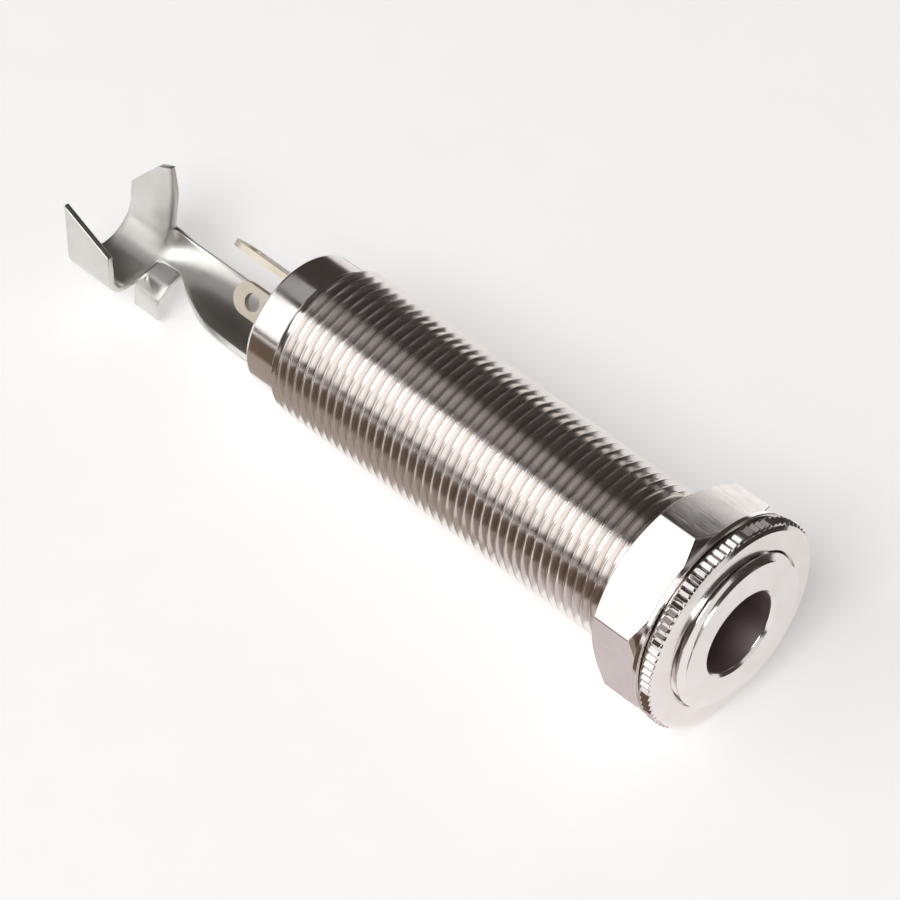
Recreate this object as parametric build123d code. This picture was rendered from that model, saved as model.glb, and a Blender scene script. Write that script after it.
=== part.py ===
from build123d import *
import math
import os

os.makedirs("parts", exist_ok=True)

# Quarter inch phone jack with a long threaded barrel. All lengths are millimetres.
# The origin is the centre of the plug hole's mouth. +X points out of the hole and +Z is up.
# Angles about the barrel are degrees, measured from +Y towards +Z.

# Barrel
thread_diameter = 15 / 32 * 25.4
thread_pitch = 25.4 / 32
thread_depth_share = 0.65
barrel_length = 42.3
neck_length = 3.0
front_chamfer = 0.25
neck_round = 0.35
plug_hole_diameter = 6.45
mouth_chamfer = 0.22
bushing_length = 8.0
cavity_diameter = 9.4
lip_thickness = 0.5
lip_opening_diameter = 9.5

# Dress nut
face_setback = 0.68
dress_nut_diameter = 16.3
dress_nut_thickness = 1.47
dress_face_inset = 0.53
dress_face_bevel = 0.32
dress_rear_bevel = 0.45
knurl_teeth = 86
knurl_depth = 0.22

# Flat washer, whose rim stands in from the dress nut's
washer_rim_inset = 0.075
washer_thickness = 0.4
washer_edge_break = 0.06

# Hex nut, whose corners stand in from the dress nut's rim
hex_corner_inset = 0.01
hex_thickness = 4.55
hex_bearing_inset = 0.25
hex_bevel_angle = 30.0
hex_flat_angle = 9.6

# Terminal stack, from the front to the rear
seat_diameter = 10.0
front_wafer_thickness = 1.5
middle_wafer_thickness = 2.2
rear_wafer_thickness = 1.5
sheet = 0.45

# Contact springs
spring_sheet = 0.35
spring_width = 2.4
spring_radius = 3.85
spring_foot_height = 1.55
apex_radius = 2.6
apex_rise_length = 1.9
apex_exit_length = 1.6
apex_exit_rise = 0.55
tip_apex_depth = 27.0
ring_apex_depth = 20.8
tip_angle = 42.0
ring_angle = 150.0

# Solder lugs, whose ends are measured from the barrel's end
plate_outer_radius = 4.6
tip_lug_width = 2.4
tip_lug_radius = 2.03
tip_lug_reach = 7.9
ring_lug_width = 2.5
ring_lug_radius = 2.07
ring_lug_reach = 4.6
eyelet_diameter = 1.4
eyelet_setback = 1.8

# Sleeve terminal, whose bends are measured from the barrel's end
flange_hole_diameter = 6.1
strip_outer_diameter = 9.4
strip_bend_reach = 3.7
strip_near_angle = 214.0
strip_far_angle = 306.8
# Each station is a share of the run to the clamp, then the near and the far edge's angle.
strip_stations = [
    (0.20, 217.0, 312.6),
    (0.55, 256.0, 325.6),
    (0.76, 283.0, 335.7),
    (0.81, 290.0, 338.1),
]
clamp_front_reach = 15.0
clamp_length = 4.6
clamp_inner_radius = 2.95
clamp_near_corner_radius = 1.3
clamp_shift_y = -1.55
clamp_shift_z = -1.5
clamp_neck_angle = 295.7
clamp_far_angle = 351.4
far_ear_lean = 0.4
far_ear_crease_height = 1.0
far_ear_tip_height = 3.85
far_ear_shoulder_height = 3.15
far_ear_low_height = -0.3
near_ear_high_height = 1.53
near_ear_low_height = -0.84
far_ear_land = 1.4
tab_width = 2.6
tab_front_reach = 12.8
tab_shelf_reach = 1.3
tab_shelf_drop = 0.45
tab_knee_reach = 2.2
tab_knee_drop = 1.3
tab_tip_reach = 2.3
tab_tip_drop = 2.9

# Clearances and gaps
thread_clearance = 0.03
washer_clearance = 0.15
face_gap = 0.03
stack_play = 0.02
wafer_clearance = 0.05
slot_clearance = 0.12
foot_clearance = 0.12
pocket_clearance = 0.05
blade_swing = 0.3
cutter_margin = 0.1

# Worked out from the sizes above
thread_radius = thread_diameter / 2
thread_length = barrel_length - neck_length
ring_count = int(thread_length / thread_pitch) + 1
neck_radius = thread_radius - thread_depth_share * thread_pitch
lip_x = -(barrel_length - lip_thickness)
flange_rear_x = lip_x + stack_play
flange_front_x = flange_rear_x + sheet
rear_wafer_front_x = flange_front_x + rear_wafer_thickness
middle_wafer_front_x = rear_wafer_front_x + middle_wafer_thickness
shoulder_x = middle_wafer_front_x + front_wafer_thickness
dress_rear_x = -face_setback - dress_nut_thickness
dress_face_diameter = dress_nut_diameter - 2 * dress_face_inset
washer_diameter = dress_nut_diameter - 2 * washer_rim_inset
hex_corner_diameter = dress_nut_diameter - 2 * hex_corner_inset
hex_across_flats = hex_corner_diameter * math.cos(math.radians(30))
hex_bearing_diameter = hex_across_flats - 2 * hex_bearing_inset
washer_front_x = dress_rear_x - face_gap
washer_rear_x = washer_front_x - washer_thickness
hex_front_x = washer_rear_x - face_gap
hex_rear_x = hex_front_x - hex_thickness
nut_bore_radius = thread_radius + thread_clearance
tip_lug_depth = barrel_length + tip_lug_reach
ring_lug_depth = barrel_length + ring_lug_reach
strip_bend_depth = barrel_length + strip_bend_reach
clamp_front_depth = barrel_length + clamp_front_reach
tab_front_depth = barrel_length + tab_front_reach
strip_run = clamp_front_depth - strip_bend_depth
strip_radius = (strip_outer_diameter - sheet) / 2
clamp_radius = clamp_inner_radius + sheet / 2
spring_middle = spring_radius - spring_sheet / 2


def turned(points):
    """A solid turned about the X axis from its outline of (x, radius) points."""
    outline = make_face(Polyline(*points, close=True))
    return revolve(outline, Axis.X, 360)


def box_at(x_rear, x_front, r_inner, r_outer, width):
    """A box between two places on X and two radii, centred on local Z."""
    length = x_front - x_rear
    height = r_outer - r_inner
    middle = Pos((x_rear + x_front) / 2, (r_inner + r_outer) / 2, 0)
    return middle * Box(length, height, width)


def around(angle, shape):
    """Turns a shape from local +Y, its radial direction, to its angle about the barrel."""
    return Rot(angle, 0, 0) * shape


def thread_rings():
    """The thread's outline from the front, drawn as rings: a crest and a root for each pitch."""
    points = []
    for ring in range(ring_count):
        crest_x = -front_chamfer - ring * thread_pitch
        points.append((crest_x, thread_radius))
        points.append((crest_x - thread_pitch / 2, neck_radius))
    return points


def make_barrel():
    hole = plug_hole_diameter / 2
    cavity = cavity_diameter / 2
    seat = seat_diameter / 2
    lip = lip_opening_diameter / 2
    points = [
        (0, hole + mouth_chamfer),
        (0, thread_radius - front_chamfer),
        *thread_rings(),
        (-barrel_length, neck_radius),
        (-barrel_length, lip),
        (lip_x, lip),
        (lip_x, seat),
        (shoulder_x, seat),
        (shoulder_x, cavity),
        (-bushing_length, cavity),
        (-bushing_length, hole),
        (-mouth_chamfer, hole),
    ]
    outline = make_face(Polyline(*points, close=True))
    rolled_corner = outline.vertices().sort_by_distance((-barrel_length, neck_radius, 0))[0]
    outline = fillet(rolled_corner, neck_round)
    return revolve(outline, Axis.X, 360)


def knurl_ring(length):
    """A prism along X whose rim is cut with straight V teeth."""
    crest = dress_nut_diameter / 2
    root = crest - knurl_depth
    points = []
    for tooth in range(knurl_teeth):
        at_root = 2 * math.pi * tooth / knurl_teeth
        at_crest = 2 * math.pi * (tooth + 0.5) / knurl_teeth
        points.append((root * math.cos(at_root), root * math.sin(at_root)))
        points.append((crest * math.cos(at_crest), crest * math.sin(at_crest)))
    outline = make_face(Polyline(*points, close=True))
    return extrude(Plane.YZ * outline, -length)


def make_dress_nut():
    rim = dress_nut_diameter / 2
    face = dress_face_diameter / 2
    front_x = -face_setback
    bevelled = turned([
        (front_x, nut_bore_radius),
        (front_x, face),
        (front_x - dress_face_bevel, rim),
        (dress_rear_x + dress_rear_bevel, rim),
        (dress_rear_x, rim - dress_rear_bevel),
        (dress_rear_x, nut_bore_radius),
    ])
    teeth = Pos(front_x, 0, 0) * knurl_ring(dress_nut_thickness)
    return bevelled & teeth


def make_flat_washer():
    rim = washer_diameter / 2
    hole = thread_radius + washer_clearance
    return turned([
        (washer_front_x, hole),
        (washer_front_x, rim - washer_edge_break),
        (washer_front_x - washer_edge_break, rim),
        (washer_rear_x + washer_edge_break, rim),
        (washer_rear_x, rim - washer_edge_break),
        (washer_rear_x, hole),
    ])


def make_hex_nut():
    corner = hex_corner_diameter / 2
    bearing = hex_bearing_diameter / 2
    overshoot = corner + cutter_margin
    bevel = (overshoot - bearing) * math.tan(math.radians(hex_bevel_angle))
    outline = RegularPolygon(corner, 6, rotation=hex_flat_angle + 30)
    prism = Pos(hex_front_x, 0, 0) * extrude(Plane.YZ * outline, -hex_thickness)
    cone = turned([
        (hex_front_x, nut_bore_radius),
        (hex_front_x, bearing),
        (hex_front_x - bevel, overshoot),
        (hex_rear_x + bevel, overshoot),
        (hex_rear_x, bearing),
        (hex_rear_x, nut_bore_radius),
    ])
    return prism & cone


def wafer(x_front, thickness):
    radius = seat_diameter / 2 - wafer_clearance
    disc = Cylinder(radius, thickness, rotation=(0, 90, 0))
    return Pos(x_front - thickness / 2, 0, 0) * disc


def blade_slot(x_rear, x_front):
    """The radial slot that a spring blade runs through, with room for its swing."""
    inner = spring_radius - spring_sheet - slot_clearance
    outer = spring_radius + blade_swing
    return box_at(x_rear, x_front, inner, outer, spring_width + 2 * slot_clearance)


def foot_pocket(x_face):
    """The pocket in a wafer's rear face that a spring's foot sits in."""
    inner = spring_radius - spring_foot_height - slot_clearance
    outer = spring_radius + slot_clearance
    front = x_face + spring_sheet + foot_clearance
    return box_at(x_face, front, inner, outer, spring_width + 2 * slot_clearance)


def plate_pocket(x_face, lug_radius, width):
    """The pocket in a wafer's front face that a terminal's plate sits in."""
    inner = lug_radius - sheet / 2 - pocket_clearance
    outer = plate_outer_radius + pocket_clearance
    return box_at(x_face - sheet, x_face, inner, outer, width + 2 * pocket_clearance)


def lug_slot(x_rear, x_front, lug_radius, width):
    """The slot that a solder lug passes through."""
    inner = lug_radius - sheet / 2 - pocket_clearance
    outer = lug_radius + sheet / 2 + pocket_clearance
    return box_at(x_rear, x_front, inner, outer, width + 2 * pocket_clearance)


def make_front_wafer():
    solid = wafer(shoulder_x, front_wafer_thickness)
    solid -= around(tip_angle, blade_slot(middle_wafer_front_x, shoulder_x))
    solid -= around(ring_angle, blade_slot(middle_wafer_front_x, shoulder_x))
    solid -= around(ring_angle, foot_pocket(middle_wafer_front_x))
    return solid


def make_middle_wafer():
    solid = wafer(middle_wafer_front_x, middle_wafer_thickness)
    solid -= around(tip_angle, blade_slot(rear_wafer_front_x, middle_wafer_front_x))
    solid -= around(tip_angle, foot_pocket(rear_wafer_front_x))
    plate = plate_pocket(middle_wafer_front_x, ring_lug_radius, ring_lug_width)
    solid -= around(ring_angle, plate)
    lug = lug_slot(rear_wafer_front_x, middle_wafer_front_x, ring_lug_radius, ring_lug_width)
    solid -= around(ring_angle, lug)
    return solid


def make_rear_wafer():
    solid = wafer(rear_wafer_front_x, rear_wafer_thickness)
    plate = plate_pocket(rear_wafer_front_x, tip_lug_radius, tip_lug_width)
    solid -= around(tip_angle, plate)
    for angle, radius, width in (
        (tip_angle, tip_lug_radius, tip_lug_width),
        (ring_angle, ring_lug_radius, ring_lug_width),
    ):
        lug = lug_slot(flange_front_x, rear_wafer_front_x, radius, width)
        solid -= around(angle, lug)
    return solid


def make_spring(foot_x, apex_depth, angle):
    """A contact blade: a foot in the stack, a straight run forward and a V that meets the plug."""
    foot_middle = foot_x + spring_sheet / 2
    foot_end = spring_radius - spring_foot_height
    apex_middle = apex_radius + spring_sheet / 2
    exit_x = -apex_depth + apex_exit_length
    path = FilletPolyline(
        (foot_middle, foot_end),
        (foot_middle, spring_middle),
        (-apex_depth - apex_rise_length, spring_middle),
        (-apex_depth, apex_middle),
        (exit_x, apex_middle + apex_exit_rise),
        radius=spring_sheet,
    )
    outline = trace(path, spring_sheet)
    blade = extrude(outline, spring_width / 2, both=True)
    return around(angle, blade)


def make_lug_terminal(plate_front_x, lug_radius, lug_width, lug_depth, angle):
    """A terminal plate in the stack, bent rearward into a solder lug with an eyelet."""
    plate_middle = plate_front_x - sheet / 2
    end_round = lug_width / 2
    eyelet_x = -lug_depth + eyelet_setback
    path = Polyline(
        (plate_middle, plate_outer_radius),
        (plate_middle, lug_radius),
        (-lug_depth, lug_radius),
    )
    blank = extrude(trace(path, sheet), lug_width / 2, both=True)
    flat = Pos(0, lug_radius, 0) * Rot(-90, 0, 0)
    corner = flat * (Pos(-lug_depth, 0, 0) * Box(2 * end_round, lug_width, 2 * sheet))
    tongue = flat * (Pos(-lug_depth + end_round, 0, 0) * Cylinder(end_round, 2 * sheet))
    eyelet = flat * (Pos(eyelet_x, 0, 0) * Cylinder(eyelet_diameter / 2, 2 * sheet))
    lug = blank - (corner - tongue) - eyelet
    return around(angle, lug)


def arc_band(x, centre_y, centre_z, radius, near_angle, far_angle):
    """The section of a curved sheet at one place on X."""
    middle = (near_angle + far_angle) / 2
    reach = far_angle - near_angle
    inner = CenterArc((0, 0), radius - sheet / 2, middle - reach / 2, reach)
    outer = CenterArc((0, 0), radius + sheet / 2, middle - reach / 2, reach)
    near = Line(inner @ 0, outer @ 0)
    far = Line(inner @ 1, outer @ 1)
    outline = make_face([inner, far, outer, near])
    return Plane.YZ.offset(x) * (Pos(centre_y, centre_z, 0) * outline)


def strip_section(share, near_angle, far_angle):
    """The strip leans from the barrel's own curve to the cable clamp's curve."""
    x = -strip_bend_depth - share * strip_run
    radius = strip_radius + share * (clamp_radius - strip_radius)
    return arc_band(
        x, share * clamp_shift_y, share * clamp_shift_z, radius, near_angle, far_angle
    )


def make_strip():
    """The curved strip that tapers from the flange to the neck of the clamp."""
    root = arc_band(flange_front_x, 0, 0, strip_radius, strip_near_angle, strip_far_angle)
    bend = strip_section(0, strip_near_angle, strip_far_angle)
    tapered = [strip_section(*station) for station in strip_stations]
    neck = strip_section(1, clamp_neck_angle, clamp_far_angle)
    sections = [root, bend, *tapered, neck]
    strip = loft(sections[0:2], ruled=True)
    for front, rear in zip(sections[1:], sections[2:]):
        strip += loft([front, rear], ruled=True)
    return strip


def make_clamp():
    """A U of sheet with two ears that are cut at opposite slants."""
    far_wall = clamp_shift_y + clamp_radius
    near_wall = clamp_shift_y - clamp_radius
    floor = clamp_shift_z - clamp_radius
    near_side = FilletPolyline(
        (near_wall, near_ear_high_height),
        (near_wall, floor),
        (clamp_shift_y, floor),
        radius=clamp_near_corner_radius,
    )
    cradle = CenterArc((clamp_shift_y, clamp_shift_z), clamp_radius, -90, 90)
    far_side = Polyline(
        (far_wall, clamp_shift_z),
        (far_wall + far_ear_lean, far_ear_crease_height),
        (far_wall + far_ear_lean / 2, far_ear_tip_height),
    )
    section = trace([near_side, cradle, far_side], sheet)
    rear_x = -clamp_front_depth - clamp_length
    blank = extrude(Plane.YZ.offset(rear_x) * section, clamp_length)
    front_x = -clamp_front_depth
    above = far_ear_tip_height + sheet
    far_scrap = make_face(Polyline(
        (rear_x, far_ear_low_height),
        (front_x - far_ear_land, far_ear_shoulder_height),
        (front_x, far_ear_tip_height),
        (front_x, above),
        (rear_x, above),
        close=True,
    ))
    near_scrap = make_face(Polyline(
        (rear_x, near_ear_high_height),
        (front_x, near_ear_low_height),
        (front_x, above),
        (rear_x, above),
        close=True,
    ))
    side = Plane.XZ.offset(-clamp_shift_y)
    blank -= extrude(side * far_scrap, -2 * clamp_radius)
    blank -= extrude(side * near_scrap, 2 * clamp_radius)
    return blank


def make_tab():
    """The solder tab that is bent outward and down from the neck's near edge."""
    share = (tab_front_depth + tab_width / 2 - strip_bend_depth) / strip_run
    radius = strip_radius + share * (clamp_radius - strip_radius)
    angle = math.radians(clamp_neck_angle)
    root_y = share * clamp_shift_y + radius * math.cos(angle)
    root_z = share * clamp_shift_z + radius * math.sin(angle)
    path = FilletPolyline(
        (root_y, root_z),
        (root_y - tab_shelf_reach, root_z - tab_shelf_drop),
        (root_y - tab_knee_reach, root_z - tab_knee_drop),
        (root_y - tab_tip_reach, root_z - tab_tip_drop),
        radius=sheet,
    )
    outline = Plane.YZ.offset(-tab_front_depth - tab_width) * trace(path, sheet)
    return extrude(outline, tab_width)


def make_sleeve_terminal():
    rim = seat_diameter / 2 - wafer_clearance
    hole = flange_hole_diameter / 2
    flange = turned([
        (flange_front_x, hole),
        (flange_front_x, rim),
        (flange_rear_x, rim),
        (flange_rear_x, hole),
    ])
    return flange + make_strip() + make_clamp() + make_tab()


pieces = {
    "barrel": make_barrel(),
    "dress_nut": make_dress_nut(),
    "flat_washer": make_flat_washer(),
    "hex_nut": make_hex_nut(),
    "front_wafer": make_front_wafer(),
    "middle_wafer": make_middle_wafer(),
    "rear_wafer": make_rear_wafer(),
    "tip_spring": make_spring(rear_wafer_front_x, tip_apex_depth, tip_angle),
    "ring_spring": make_spring(middle_wafer_front_x, ring_apex_depth, ring_angle),
    "tip_terminal": make_lug_terminal(
        rear_wafer_front_x, tip_lug_radius, tip_lug_width, tip_lug_depth, tip_angle
    ),
    "ring_terminal": make_lug_terminal(
        middle_wafer_front_x, ring_lug_radius, ring_lug_width, ring_lug_depth, ring_angle
    ),
    "sleeve_terminal": make_sleeve_terminal(),
}

for name, piece in pieces.items():
    export_step(piece, f"parts/{name}.step")
    print(name, "solids", len(piece.solids()), "volume", round(piece.volume, 3))
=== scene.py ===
# %% [markdown]
# # A quarter inch phone jack
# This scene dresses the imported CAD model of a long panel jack: a nickel plated tube with a fine
# thread, a knurled dress nut, a washer and a hex nut near its mouth, and solder terminals of bent
# sheet at its rear. The CAD parts give every size and place. Blender adds the helical thread, the
# soft edges that catch light and the finish of each metal. The first step brings in the frame and
# keeps its box, so that the dressed model can be compared with it at the end.

import math

import bmesh
import bpy
from mathutils import Matrix, Vector


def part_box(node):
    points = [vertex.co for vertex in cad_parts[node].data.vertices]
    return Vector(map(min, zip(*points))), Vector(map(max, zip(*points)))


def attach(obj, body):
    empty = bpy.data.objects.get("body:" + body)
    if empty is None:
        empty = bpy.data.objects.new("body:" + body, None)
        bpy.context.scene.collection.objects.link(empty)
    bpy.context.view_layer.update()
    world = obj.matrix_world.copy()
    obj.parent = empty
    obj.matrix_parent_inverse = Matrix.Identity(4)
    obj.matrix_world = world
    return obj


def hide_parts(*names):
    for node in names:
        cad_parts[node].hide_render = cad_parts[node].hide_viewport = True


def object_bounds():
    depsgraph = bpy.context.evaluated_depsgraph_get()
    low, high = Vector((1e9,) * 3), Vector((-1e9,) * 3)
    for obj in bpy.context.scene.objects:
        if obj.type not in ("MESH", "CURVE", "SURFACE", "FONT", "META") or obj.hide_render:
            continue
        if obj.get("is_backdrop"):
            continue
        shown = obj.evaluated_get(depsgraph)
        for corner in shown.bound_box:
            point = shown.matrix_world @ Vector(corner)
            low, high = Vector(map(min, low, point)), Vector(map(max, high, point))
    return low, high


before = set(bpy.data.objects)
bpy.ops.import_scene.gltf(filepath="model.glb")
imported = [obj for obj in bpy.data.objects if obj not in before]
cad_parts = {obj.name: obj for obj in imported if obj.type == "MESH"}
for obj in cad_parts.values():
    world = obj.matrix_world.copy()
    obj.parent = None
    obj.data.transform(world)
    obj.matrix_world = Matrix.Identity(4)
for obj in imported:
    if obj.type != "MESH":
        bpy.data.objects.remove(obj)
cad_low, cad_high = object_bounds()
MM = 0.001
ORIGIN = Vector((0, 0, 0))
print("CAD box in mm:", [round(c / MM, 2) for c in cad_high - cad_low])

# %% [markdown]
# ## Measures taken from the frame
# A piece that replaces a CAD part has to fit it, so its sizes are read from that part's own box
# where it gives them. The rest are the thread's standard sizes and the turned steps inside the
# barrel. X runs along the barrel, and the mouth of the plug hole is at X = 0.

# %% Sizes of the barrel
MM_PER_INCH = 25.4
THREADS_PER_INCH = 32
barrel_low, barrel_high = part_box("barrel")
barrel_end = -barrel_low.x
crest_radius = barrel_high.y
pitch = MM_PER_INCH / THREADS_PER_INCH * MM
thread_depth = 0.65 * pitch
root_radius = crest_radius - thread_depth
neck_length = 3.0 * MM
thread_end = barrel_end - neck_length
end_chamfer = 0.25 * MM
print("barrel in mm:", round(barrel_end / MM, 2), "long, radius", round(crest_radius / MM, 3))

# %% [markdown]
# ## Finishing a piece
# Every new piece ends the same way: its mesh becomes an object, its round surfaces are shaded
# smooth, and edges sharper than a chosen angle stay crisp. Smooth shading alone would bend the
# light on the flats between two rounded edges, so each corner gets a normal blended by area, and
# the large faces keep their own direction. The object stays at the origin with its place in its
# mesh, and rides on its CAD body.

# %% Helpers for finishing
SHARP_ANGLE = math.radians(32)


def shade(bm):
    """Smooth faces, with the sharp edges kept crisp."""
    for face in bm.faces:
        face.smooth = True
    for edge in bm.edges:
        edge.smooth = edge.calc_face_angle(0) < SHARP_ANGLE


def level_normals(bm):
    """A normal for each corner of each face, blended by area, so that large faces stay level."""
    areas = {face: face.calc_area() / MM**2 for face in bm.faces}
    nearly_level = math.cos(SHARP_ANGLE)
    normals = []
    for face in bm.faces:
        for corner in face.loops:
            total = Vector((0, 0, 0))
            for neighbour in corner.vert.link_faces:
                if neighbour.normal.dot(face.normal) > nearly_level:
                    total += neighbour.normal * areas[neighbour]
            normals.append(total.normalized())
    return normals


def new_object(name, data):
    """An object at the origin that holds a mesh, a lamp or a camera."""
    item = bpy.data.objects.new(name, data)
    bpy.context.scene.collection.objects.link(item)
    return item


def mesh_object(bm, name, material):
    """An object of one material, made of this bmesh."""
    mesh = bpy.data.meshes.new(name)
    bm.to_mesh(mesh)
    bm.free()
    mesh.materials.append(material)
    return new_object(name, mesh)


def thicken_sheet(piece, thickness):
    """Gives a bare surface the thickness of a sheet, with eased rims."""
    thicken = piece.modifiers.new("sheet thickness", "SOLIDIFY")
    thicken.thickness = thickness
    thicken.offset = 0
    thicken.use_even_offset = True
    rims = piece.modifiers.new("eased rims", "BEVEL")
    rims.width = 0.15 * thickness
    rims.segments = 2
    rims.limit_method = "ANGLE"
    rims.angle_limit = math.radians(50)


def finished(bm, name, material, body, stands_for, sheet_thickness=0):
    """The piece of this mesh, painted and riding on its body. A bare sheet gets a thickness."""
    bm.normal_update()
    shade(bm)
    normals = level_normals(bm)
    piece = mesh_object(bm, name, material)
    if sheet_thickness:
        thicken_sheet(piece, sheet_thickness)
    else:
        piece.data.normals_split_custom_set(normals)
    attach(piece, body)
    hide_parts(*stands_for)
    print(name, "faces", len(piece.data.polygons))


# %% [markdown]
# ## Node helpers
# Materials are built from nodes in code. A few small helpers each add a node and link it, so that
# a material reads as a list of what it does.

# %% Helpers for nodes


def new_material(name):
    """A material with nodes, and its node tree."""
    material = bpy.data.materials.new(name)
    material.use_nodes = True
    return material, material.node_tree


def add_node(tree, kind, **settings):
    """A new node of a kind, with its settings."""
    node = tree.nodes.new(kind)
    for name, value in settings.items():
        setattr(node, name, value)
    return node


def noise(tree, vector, scale, detail=3.0, roughness=0.5):
    """Soft random cloudiness at a scale, as a value from 0 to 1."""
    node = add_node(tree, "ShaderNodeTexNoise")
    node.inputs["Scale"].default_value = scale
    node.inputs["Detail"].default_value = detail
    node.inputs["Roughness"].default_value = roughness
    tree.links.new(vector, node.inputs["Vector"])
    return node.outputs["Fac"]


def remap(tree, value, low, high, to_low, to_high):
    """Stretches a value from one range to another."""
    node = add_node(tree, "ShaderNodeMapRange")
    names = ("From Min", "From Max", "To Min", "To Max")
    for name, number in zip(names, (low, high, to_low, to_high)):
        node.inputs[name].default_value = number
    tree.links.new(value, node.inputs["Value"])
    return node.outputs["Result"]


def maths(tree, operation, first, second=None):
    """One step of arithmetic on values or numbers."""
    node = add_node(tree, "ShaderNodeMath", operation=operation)
    for socket, value in zip(node.inputs, (first, second)):
        if value is None:
            continue
        if isinstance(value, (int, float)):
            socket.default_value = value
        else:
            tree.links.new(value, socket)
    return node.outputs["Value"]


def blend_colours(tree, share, first, second):
    """Mixes two colours by a mask."""
    node = add_node(tree, "ShaderNodeMix", data_type="RGBA")
    tree.links.new(share, node.inputs["Factor"])
    colour_inputs = [s for s in node.inputs if s.type == "RGBA"]
    for socket, value in zip(colour_inputs, (first, second)):
        if hasattr(value, "links"):
            tree.links.new(value, socket)
        else:
            socket.default_value = (*value, 1)
    return next(s for s in node.outputs if s.type == "RGBA")


def tilted(tree, height, strength, distance):
    """The surface's direction after a Bump node has tilted it by a height."""
    node = add_node(tree, "ShaderNodeBump")
    node.inputs["Strength"].default_value = strength
    node.inputs["Distance"].default_value = distance
    tree.links.new(height, node.inputs["Height"])
    return node.outputs["Normal"]


def place_in_mm(tree):
    """Object coordinates in millimetres."""
    coordinates = add_node(tree, "ShaderNodeTexCoord")
    scale = add_node(tree, "ShaderNodeVectorMath", operation="SCALE")
    scale.inputs["Scale"].default_value = 1 / MM
    tree.links.new(coordinates.outputs["Object"], scale.inputs[0])
    return scale.outputs["Vector"]


# %% [markdown]
# ## What handling leaves on bright plating
# Plated metal is never one even mirror. It has a faint cloudiness from polishing and fingers,
# hairline scratches that run every way, and tiny dimples. All the metals of this jack share that,
# so it is one node group with a size for each effect. The group is given the place in
# millimetres, so the marks keep their real size.

# %% The handling group


def new_group(group_name, sizes, outputs):
    """A node group that takes a place and some sizes. Gives its tree, way in and way out."""
    tree = bpy.data.node_groups.new(group_name, "ShaderNodeTree")
    for name, value in sizes.items():
        socket = tree.interface.new_socket(name, in_out="INPUT", socket_type="NodeSocketFloat")
        socket.default_value = value
    tree.interface.new_socket("Place", in_out="INPUT", socket_type="NodeSocketVector")
    for name in outputs:
        tree.interface.new_socket(name, in_out="OUTPUT", socket_type="NodeSocketFloat")
    return tree, add_node(tree, "NodeGroupInput"), add_node(tree, "NodeGroupOutput")


def build_handling_group():
    """A node group that puts out haze, scratches and a height for plated metal."""
    sizes = {"Haze size": 0.5, "Scratch size": 1.0, "Dimple size": 8.0}
    tree, inside, outside = new_group("handling marks", sizes, ("Haze", "Scratches", "Height"))

    def scaled(size_name):
        node = add_node(tree, "ShaderNodeVectorMath", operation="SCALE")
        tree.links.new(inside.outputs["Place"], node.inputs[0])
        tree.links.new(inside.outputs[size_name], node.inputs["Scale"])
        return node.outputs["Vector"]

    haze = remap(tree, noise(tree, scaled("Haze size"), 1.0, 4.0), 0.3, 0.7, 0.0, 1.0)
    scratch_place = scaled("Scratch size")
    hairs = []
    for turn in ((0.4, 0.2, 0.9), (1.3, 0.8, 2.1)):
        lean = add_node(tree, "ShaderNodeMapping")
        lean.inputs["Rotation"].default_value = turn
        lean.inputs["Scale"].default_value = (0.6, 14.0, 14.0)
        tree.links.new(scratch_place, lean.inputs["Vector"])
        streaks = noise(tree, lean.outputs["Vector"], 1.0, 2.0)
        hairs.append(remap(tree, streaks, 0.62, 0.72, 0.0, 1.0))
    scratches = maths(tree, "MAXIMUM", hairs[0], hairs[1])
    dimples = noise(tree, scaled("Dimple size"), 1.0, 2.0)
    height = maths(tree, "SUBTRACT", dimples, maths(tree, "MULTIPLY", scratches, 0.6))
    tree.links.new(haze, outside.inputs["Haze"])
    tree.links.new(scratches, outside.inputs["Scratches"])
    tree.links.new(height, outside.inputs["Height"])
    return tree


def group_outputs(group):
    """The names of what a node group puts out."""
    return [item.name for item in group.interface.items_tree if item.in_out == "OUTPUT"]


HANDLING = build_handling_group()
print("handling marks put out", group_outputs(HANDLING))

# %% [markdown]
# ## Rings from the lathe
# The turned parts keep the faint rings that the cutting tool leaves round their axis. On a flat
# end they are circles, and on a cylinder they are bands along X. A second group makes both from
# the distance to the axis and from X, and hands out one height that a Bump node can read. It
# also hands out that distance, which the thread's finish needs.

# %% The lathe ring group


def build_lathe_group():
    """A node group that puts out the distance to the X axis and the height of rings about it."""
    outputs = ("Radius", "Height")
    tree, inside, outside = new_group("lathe rings", {"Rings per mm": 12.0}, outputs)
    apart = add_node(tree, "ShaderNodeSeparateXYZ")
    tree.links.new(inside.outputs["Place"], apart.inputs["Vector"])
    squares = [
        maths(tree, "MULTIPLY", apart.outputs[axis], apart.outputs[axis]) for axis in ("Y", "Z")
    ]
    radius = maths(tree, "SQRT", maths(tree, "ADD", squares[0], squares[1]))
    along = add_node(tree, "ShaderNodeCombineXYZ")
    for source, name in ((radius, "X"), (apart.outputs["X"], "Y")):
        dense = maths(tree, "MULTIPLY", source, inside.outputs["Rings per mm"])
        tree.links.new(dense, along.inputs[name])
    rings = noise(tree, along.outputs["Vector"], 1.0, 2.0, 0.6)
    tree.links.new(radius, outside.inputs["Radius"])
    tree.links.new(rings, outside.inputs["Height"])
    return tree


LATHE = build_lathe_group()
print("lathe rings put out", group_outputs(LATHE))

# %% [markdown]
# ## Two masks for the barrel
# The thread's valleys are painted darker, as painted shade in the grooves, and the drilled inside
# is rougher and painted darker, as painted shade in the bore.
# The distance from the axis tells valleys from crests and inside from
# outside, and the place along the barrel keeps the masks off the mouth and the neck. Each mask is
# a few Map Range nodes multiplied together, with their limits in mm.

# %% Masks for the barrel


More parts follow.
